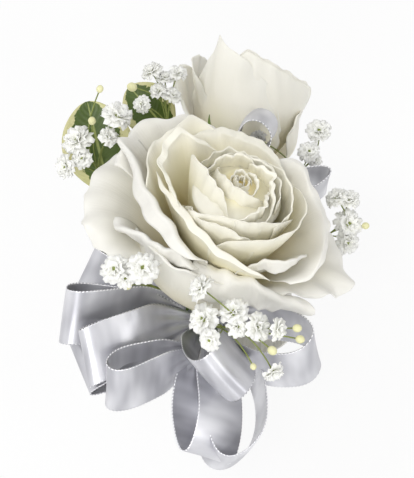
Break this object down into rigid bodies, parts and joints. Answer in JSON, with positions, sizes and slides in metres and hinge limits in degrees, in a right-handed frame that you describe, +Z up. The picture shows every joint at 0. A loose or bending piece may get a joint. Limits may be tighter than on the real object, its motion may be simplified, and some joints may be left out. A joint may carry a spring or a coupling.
{
  "type": "wrist corsage",
  "caption": "Spray of white roses, gypsophila, variegated leaves and satin ribbon loops, taped into a stem wrap that folding prongs clamp to an elastic wristlet band.",
  "frame": {"origin": "middle of the flat outside of the wristlet's back panel, on the surface that the wristlet stands on", "axes": "+Z up from the back panel to the flowers, +Y along the arm towards the half-open rose, X across the wrist"},
  "size_m": [0.1043, 0.1484, 0.1045],
  "materials": {
    "band_satin": "gathered satin over elastic",
    "elastic": "ribbed elastic",
    "clip_steel": "stamped and nickel plated",
    "binding_wire": "fine wire in close turns",
    "floral_tape": "waxed crepe paper",
    "rose_petal": "soft velvety ivory",
    "rose_heart": "soft cream",
    "rose_calyx": "waxy green",
    "gypsophila": "matte white florets on green stems",
    "leaf": "waxy green with a cream margin",
    "satin_ribbon": "silver white satin with a picot edge"
  },
  "bodies": {
    "spray": {"band_top_panel": "band_satin", "band_elastic_right": "elastic", "band_elastic_left": "elastic", "clip_plate": "clip_steel", "rivet_left": "clip_steel", "rivet_right": "clip_steel", "rose_heart": "rose_heart", "rose_petal_01": "rose_petal", "rose_petal_02": "rose_petal", "rose_petal_03": "rose_petal", "rose_petal_04": "rose_petal", "rose_petal_05": "rose_petal", "rose_petal_06": "rose_petal", "rose_petal_07": "rose_petal", "rose_petal_08": "rose_petal", "rose_petal_09": "rose_petal", "rose_petal_10": "rose_petal", "rose_petal_11": "rose_petal", "rose_petal_12": "rose_petal", "rose_petal_13": "rose_petal", "rose_petal_14": "rose_petal", "rose_petal_15": "rose_petal", "rose_petal_16": "rose_petal", "rose_petal_17": "rose_petal", "rose_petal_18": "rose_petal", "rose_calyx": "rose_calyx", "bud_heart": "rose_heart", "bud_petal_01": "rose_petal", "bud_petal_02": "rose_petal", "bud_petal_03": "rose_petal", "bud_petal_04": "rose_petal", "bud_petal_05": "rose_petal", "bud_petal_06": "rose_petal", "bud_calyx": "rose_calyx", "sprig_left": "gypsophila", "sprig_top": "gypsophila", "sprig_right_upper": "gypsophila", "sprig_right_lower": "gypsophila", "sprig_front_left": "gypsophila", "sprig_front": "gypsophila", "leaf_left": "leaf", "leaf_top": "leaf", "stem_wrap": "floral_tape", "bow_binding": "binding_wire", "ribbon_centre": "satin_ribbon", "ribbon_right": "satin_ribbon", "ribbon_low_left": "satin_ribbon", "ribbon_middle": "satin_ribbon", "ribbon_left": "satin_ribbon", "ribbon_bottom_left": "satin_ribbon", "ribbon_bottom_ring": "satin_ribbon", "ribbon_back_left": "satin_ribbon", "ribbon_high_left": "satin_ribbon", "ribbon_top": "satin_ribbon", "ribbon_far_right": "satin_ribbon"},
    "band_back": {"band_back_panel": "band_satin"},
    "prong_left_front": {"prong_left_front": "clip_steel"},
    "prong_right_front": {"prong_right_front": "clip_steel"},
    "prong_left_back": {"prong_left_back": "clip_steel"},
    "prong_right_back": {"prong_right_back": "clip_steel"}
  },
  "joints": [
    {"name": "band_stretch", "type": "slide", "parent": "spray", "child": "band_back", "axis": [0, 0, -1], "range_m": [0, 0.022], "stiffness_N_per_m": 200, "deforming": ["band_elastic_left", "band_elastic_right"]},
    {"name": "prong_left_front_fold", "type": "hinge", "parent": "spray", "child": "prong_left_front", "pos_m": [-0.00289, -0.008, 0.0445], "axis": [0, -1, 0], "range_deg": [0, 65]},
    {"name": "prong_right_front_fold", "type": "hinge", "parent": "spray", "child": "prong_right_front", "pos_m": [0.00289, -0.008, 0.0445], "axis": [0, 1, 0], "range_deg": [0, 65]},
    {"name": "prong_left_back_fold", "type": "hinge", "parent": "spray", "child": "prong_left_back", "pos_m": [-0.00289, 0.008, 0.0445], "axis": [0, -1, 0], "range_deg": [0, 65]},
    {"name": "prong_right_back_fold", "type": "hinge", "parent": "spray", "child": "prong_right_back", "pos_m": [0.00289, 0.008, 0.0445], "axis": [0, 1, 0], "range_deg": [0, 65]}
  ]
}
